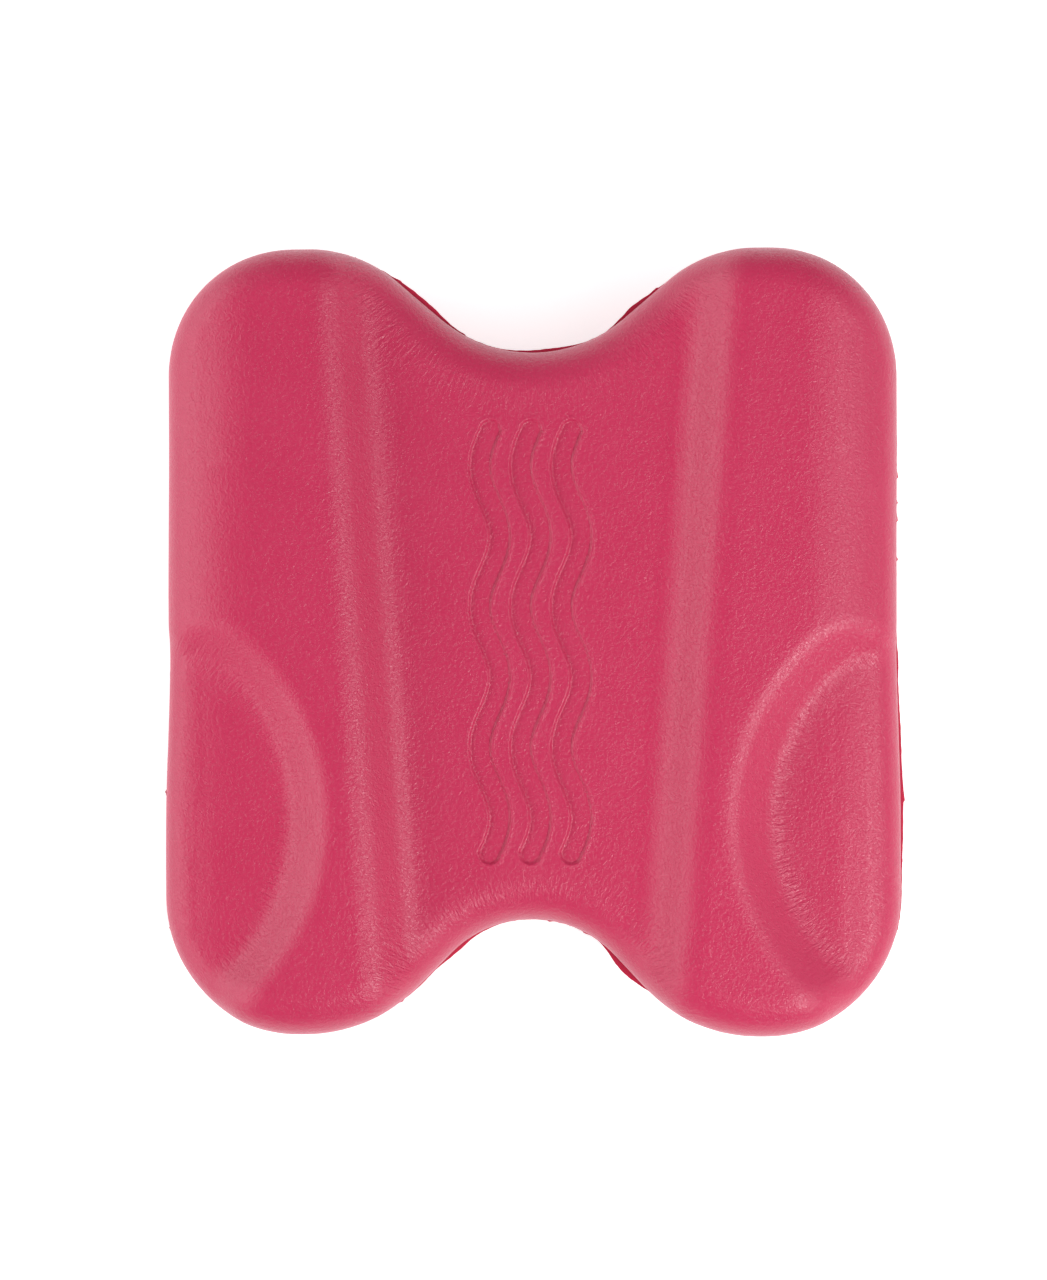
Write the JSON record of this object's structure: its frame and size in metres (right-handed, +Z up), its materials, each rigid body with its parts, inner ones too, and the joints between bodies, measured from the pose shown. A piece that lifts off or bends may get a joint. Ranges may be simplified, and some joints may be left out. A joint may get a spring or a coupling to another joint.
{
  "type": "pull buoy",
  "caption": "Flat foam pull buoy with thick side lobes, a tapering valley between them on each face, notched ends and dished hand grips at the sides.",
  "frame": {"origin": "under the middle of the buoy, on the surface that its rear lobes lie on", "axes": "+X across the lobes, +Y along them towards the wide notch, +Z up out of the front face"},
  "size_m": [0.2658, 0.2824, 0.06],
  "materials": {
    "foam_skin": "matte to satin moulded EVA foam skin with a fine leathery grain",
    "adhesive": "cured contact adhesive",
    "trimmed_skin": "knife-trimmed compressed foam edge, deeper red and matte"
  },
  "bodies": {
    "root": {"front_half": "foam_skin", "rear_half": "foam_skin", "bond_film": "adhesive", "trimmed_flash": "trimmed_skin"}
  },
  "joints": []
}
